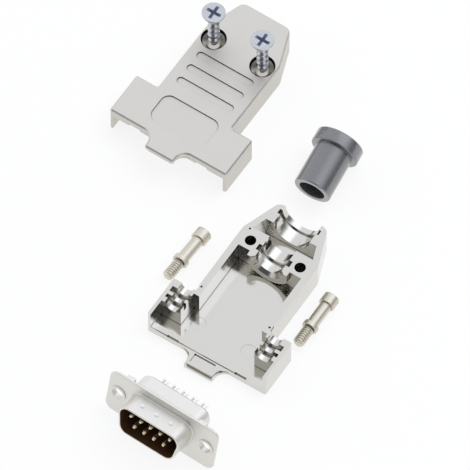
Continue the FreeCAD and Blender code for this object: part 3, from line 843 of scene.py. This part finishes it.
def jackscrew_mesh(settings):
    """Turned jackscrew, head at height 0 and below, thread upwards."""
    head = 2.0 * MM
    shank = 1.47 * MM
    collar = 1.95 * MM
    crest = 1.42 * MM
    core = settings.jack_core
    start = JACK_SHANK + JACK_COLLAR
    stop = start + JACK_THREAD
    point = 0.55 * MM
    edge = 0.18 * MM
    soft = edge * 0.6
    core_at = tapered(core, left=0.8, end=stop, run=point)
    crest_at = tapered(crest, left=0.78, end=stop, run=point)
    work = bmesh.new()
    rows = rings(rounded([(0, -JACK_HEAD, 0), (head, -JACK_HEAD, edge), (head, 0, soft),
                          (shank, 0, 0), (shank, JACK_SHANK, 0),
                          (collar, JACK_SHANK, soft), (collar, start, soft),
                          (core, start, 0)]))
    rows += thread_rows(core_at, crest_at, settings.jack_pitch, start=start + 0.02 * MM,
                        stop=stop - 0.05 * MM, run_in=0.35 * MM, run_out=0.12 * MM)
    rows += rings([(core_at(stop) * 0.95, stop), (0, stop)])
    skin(work, rows)
    return settled(work, "jackscrew_mesh")


def slot_cutter():
    """A blade for the screwdriver slot in a jackscrew's head."""
    across = 6 * MM
    width = 0.76 * MM
    depth = 0.86 * MM
    work = bmesh.new()
    bmesh.ops.create_cube(work, size=1.0)
    for vert in work.verts:
        vert.co = (vert.co.x * across, vert.co.y * width,
                   vert.co.z * 2 * depth - JACK_HEAD)
    return settled(work, "slot_cutter")


class HOOD_OT_jackscrews(bpy.types.Operator):
    """Make the two jackscrews"""
    bl_idname = "hood.jackscrews"
    bl_label = "Jackscrews"

    def execute(self, context):
        settings = context.scene.screw_settings
        # The mount is the middle of the thread, without the chamfer at its point.
        reach = JACK_SHANK + JACK_COLLAR + (JACK_THREAD - JACK_CHAMFER) / 2
        for side in ("left", "right"):
            node = "jackscrew_" + side
            mount = "jackscrew_thread_" + side
            thread = Vector(MOUNTS[mount]["pos_m"])
            pose = pose_of(mount, thread - Vector(MOUNTS[mount]["axis"]) * reach)
            made = placed("turned_" + node, jackscrew_mesh(settings),
                          turned_nickel(settings, pose), pose, slot_cutter())
            smooth(made.data)
            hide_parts(node)
        return {"FINISHED"}


# Grommet
def grommet_mesh(settings):
    """Rubber sleeve with its flange, middle at height 0, flange upwards."""
    half = settings.length / 2
    step = half - settings.flange_length
    bore, sleeve, flange = settings.bore, settings.sleeve, settings.flange
    edge = settings.edge
    profile = rounded([(bore, -half, edge * 0.6), (sleeve, -half, edge),
                       (sleeve, step, 0.12 * MM), (flange, step, edge),
                       (flange, half, edge), (bore, half, edge * 0.6)])
    work = bmesh.new()
    skin(work, rings(profile + [profile[0]]), columns=96)
    return settled(work, "grommet_mesh")


class HOOD_OT_grommet(bpy.types.Operator):
    """Make the rubber grommet"""
    bl_idname = "hood.grommet"
    bl_label = "Cable grommet"

    def execute(self, context):
        settings = context.scene.grommet_settings
        pose = pose_of("grommet_bore", Vector(MOUNTS["grommet_bore"]["pos_m"]))
        made = placed("rubber_grommet", grommet_mesh(settings),
                      moulded_rubber(settings, pose), pose)
        smooth(made.data)
        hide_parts("cable_grommet")
        return {"FINISHED"}


# Plug
def inside_of_shell(face):
    """Whether a face of the front shell is a wall that looks towards the D's axis."""
    # Past the D's corners, but short of the flange's holes
    reach = 9.2 * MM
    axis = Vector(MOUNTS["plug_face"]["axis"]).normalized()
    away = face.center - Vector(MOUNTS["plug_face"]["pos_m"])
    across = away - axis * away.dot(axis)
    inward = face.normal.dot(across) < 0 and abs(face.normal.dot(axis)) < 0.5
    return inward and across.length < reach


class PLUG_OT_shells(bpy.types.Operator):
    """Dress the drawn shells and the eyelets"""
    bl_idname = "plug.shells"
    bl_label = "Plug shells"

    def execute(self, context):
        settings = context.scene.plug_settings
        plate = tin_plate(settings)
        front = eased_copy("connector_front_shell", "tin_front_shell", plate,
                           settings.edge)
        marked(front, tin_inside(), inside_of_shell)
        eased_copy("connector_rear_shell", "tin_rear_shell", plate,
                   settings.edge)
        for side in ("left", "right"):
            dressed("connector_eyelet_" + side, plate)
        return {"FINISHED"}


class PLUG_OT_insulator(bpy.types.Operator):
    """Dress the insulator"""
    bl_idname = "plug.insulator"
    bl_label = "Insulator"

    def execute(self, context):
        settings = context.scene.plug_settings
        eased_copy("connector_insulator", "plastic_insulator",
                   dark_plastic(settings), settings.edge)
        return {"FINISHED"}


class PLUG_OT_contacts(bpy.types.Operator):
    """Dress the nine contacts"""
    bl_idname = "plug.contacts"
    bl_label = "Contacts"

    def execute(self, context):
        metal = gold_and_tin(context.scene.plug_settings)
        for number in range(1, 10):
            dressed("contact_%d" % number, metal)
        return {"FINISHED"}


# Stage
def patched(tree, way, light, towards, start, whole, glow):
    """Hang a soft round patch in the light tent.

    start and whole say how nearly a way runs towards its middle, up to 1, where the
    patch begins and where it is whole.
    """
    near = add(tree, "ShaderNodeVectorMath", {"operation": "DOT_PRODUCT", 1: towards},
               {0: way}).outputs["Value"]
    share = add(tree, "ShaderNodeMapRange", {"From Min": start, "From Max": whole},
                {"Value": near}).outputs["Result"]
    links = {"Factor": share}
    settings = {"data_type": "RGBA", SECOND: opaque(glow)}
    if isinstance(light, bpy.types.NodeSocket):
        links[FIRST] = light
    else:
        settings[FIRST] = opaque(light)
    return add(tree, "ShaderNodeMix", settings, links).outputs[BLEND]


def studio_world():
    """White light tent, dark towards its opening in front and low on the right."""
    world = bpy.data.worlds.new("studio")
    world.use_nodes = True
    bpy.context.scene.world = world
    tree = world.node_tree
    tree.nodes.clear()
    way = add(tree, "ShaderNodeTexCoord").outputs["Generated"]
    tent = (0.97, 0.985, 1.03)
    # The cloth glows round the lamp, and bright plate that faces up mirrors that.
    light = patched(tree, way, tent, towards=LAMP_WAY, start=0.85, whole=0.98,
                    glow=(1.5, 1.56, 1.72))
    # Pale cool cloth at the back
    light = patched(tree, way, light, towards=(0.0, 0.95, 0.2), start=0.7, whole=0.95,
                    glow=(1.04, 1.07, 1.15))
    # Dimmer cloth high in front on the left, which the walls that face the front mirror
    light = patched(tree, way, light, towards=(-0.28, -0.44, 0.85), start=0.9, whole=0.97,
                    glow=(0.62, 0.62, 0.61))
    # Dark opening in front
    light = patched(tree, way, light, towards=(0.0, -0.95, 0.3), start=0.78, whole=0.92,
                    glow=(0.1, 0.1, 0.1))
    # Dark table edge low on the right
    light = patched(tree, way, light, towards=(0.9, 0.3, -0.3), start=0.5, whole=0.8,
                    glow=(0.22, 0.22, 0.22))
    # Dark place where the camera stands
    light = patched(tree, way, light, towards=(0.28, -0.44, 0.85), start=0.93,
                    whole=0.985, glow=(0.025, 0.02, 0.018))
    rays = add(tree, "ShaderNodeLightPath")
    room = add(tree, "ShaderNodeBackground", {"Strength": 1.0}, {"Color": light})
    white = add(tree, "ShaderNodeBackground", {"Strength": 1.0, "Color": (1, 1, 1, 1)})
    seen = add(tree, "ShaderNodeMixShader",
               links={0: rays.outputs["Is Camera Ray"], 1: room.outputs[0],
                      2: white.outputs[0]})
    add(tree, "ShaderNodeOutputWorld", links={"Surface": seen.outputs[0]})


def floor_material(settings):
    """Matt white paper, lit so far that it shows as plain white, shadow kept."""
    made = bpy.data.materials.new("matt_white_paper")
    made.use_nodes = True
    tree = made.node_tree
    tree.nodes.clear()
    paper = add(tree, "ShaderNodeBsdfDiffuse", {"Color": opaque(settings.floor_colour)})
    glow = add(tree, "ShaderNodeEmission", {"Color": (1, 1, 1, 1), "Strength": 1.0})
    rays = add(tree, "ShaderNodeLightPath")
    seen = add(tree, "ShaderNodeMath", {"operation": "MAXIMUM"},
               {0: rays.outputs["Is Camera Ray"], 1: rays.outputs["Is Glossy Ray"]})
    seen = add(tree, "ShaderNodeMath", {"operation": "MAXIMUM"},
               {0: seen.outputs[0], 1: rays.outputs["Is Transmission Ray"]})
    # The rest of the way to white stays paper, which keeps the shadow.
    share = add(tree, "ShaderNodeMath", {"operation": "MULTIPLY", 1: 0.85},
                {0: seen.outputs[0]})
    both = add(tree, "ShaderNodeMixShader",
               links={0: share.outputs[0], 1: paper.outputs[0], 2: glow.outputs[0]})
    add(tree, "ShaderNodeOutputMaterial", links={"Surface": both.outputs[0]})
    return made


class STAGE_OT_studio(bpy.types.Operator):
    """Make the floor, the light and the camera"""
    bl_idname = "stage.studio"
    bl_label = "Studio"

    def execute(self, context):
        scene = context.scene
        settings = scene.stage_settings
        scene.view_settings.view_transform = "Standard"
        studio_world()

        half = settings.span / 2
        mesh = bpy.data.meshes.new("floor")
        mesh.from_pydata([(-half, -half, 0), (half, -half, 0), (half, half, 0),
                          (-half, half, 0)], [], [(0, 1, 2, 3)])
        mesh.materials.append(floor_material(settings))
        floor = bpy.data.objects.new("floor", mesh)
        # Just under the set, so that the two never share a face
        floor.location.z = -HAIR
        context.collection.objects.link(floor)

        lamp_data = bpy.data.lights.new("soft_lamp", "AREA")
        lamp_data.shape = "SQUARE"
        lamp_data.size = settings.lamp_size
        lamp_data.energy = 2.0
        lamp = bpy.data.objects.new("soft_lamp", lamp_data)
        towards = Vector(LAMP_WAY).normalized()
        lamp.location = AIM + towards * settings.lamp_height
        lamp.rotation_euler = towards.to_track_quat("Z", "Y").to_euler()
        # The tent's own glow stands in for the lamp in mirrors.
        lamp.visible_glossy = False
        context.collection.objects.link(lamp)

        camera_data = bpy.data.cameras.new("camera")
        camera_data.lens = CAMERA_LENS
        camera_data.sensor_width = 36
        camera_data.clip_end = 10
        camera = bpy.data.objects.new("camera", camera_data)
        towards = Vector((math.sin(CAMERA_AZIMUTH) * math.cos(CAMERA_ELEVATION),
                          -math.cos(CAMERA_AZIMUTH) * math.cos(CAMERA_ELEVATION),
                          math.sin(CAMERA_ELEVATION)))
        camera.location = AIM + towards * CAMERA_DISTANCE
        camera.rotation_euler = towards.to_track_quat("Z", "Y").to_euler()
        context.collection.objects.link(camera)
        scene.camera = camera
        return {"FINISHED"}


class DSUB_PT_panel(bpy.types.Panel):
    """Lists the pieces of the set"""
    bl_label = "D-sub set"
    bl_idname = "DSUB_PT_panel"
    bl_space_type = "VIEW_3D"
    bl_region_type = "UI"
    bl_category = "D-sub set"

    def draw(self, context):
        for piece in OPERATORS:
            self.layout.operator(piece.bl_idname)
        for name, group in SETTINGS.items():
            column = self.layout.column(heading=name)
            for key in group.__annotations__:
                column.prop(getattr(context.scene, name), key)


SETTINGS = {"hood_settings": HoodSettings, "screw_settings": ScrewSettings,
            "grommet_settings": GrommetSettings, "plug_settings": PlugSettings,
            "stage_settings": StageSettings}
OPERATORS = (HOOD_OT_halves, HOOD_OT_cover_screws, HOOD_OT_jackscrews, HOOD_OT_grommet,
             PLUG_OT_shells, PLUG_OT_insulator, PLUG_OT_contacts, STAGE_OT_studio)


def register():
    """Make the settings, the operators and the panel known."""
    for name, group in SETTINGS.items():
        bpy.utils.register_class(group)
        setattr(bpy.types.Scene, name, bpy.props.PointerProperty(type=group))
    for part in OPERATORS + (DSUB_PT_panel,):
        bpy.utils.register_class(part)


def unregister():
    """Take back what register made known."""
    for part in reversed(OPERATORS + (DSUB_PT_panel,)):
        bpy.utils.unregister_class(part)
    for name, group in reversed(SETTINGS.items()):
        delattr(bpy.types.Scene, name)
        bpy.utils.unregister_class(group)


def main():
    """Build the whole scene."""
    register()
    bpy.ops.stage.studio()
    bpy.ops.hood.halves()
    bpy.ops.hood.cover_screws()
    bpy.ops.hood.jackscrews()
    bpy.ops.hood.grommet()
    bpy.ops.plug.shells()
    bpy.ops.plug.insulator()
    bpy.ops.plug.contacts()


if __name__ == "__main__":
    main()
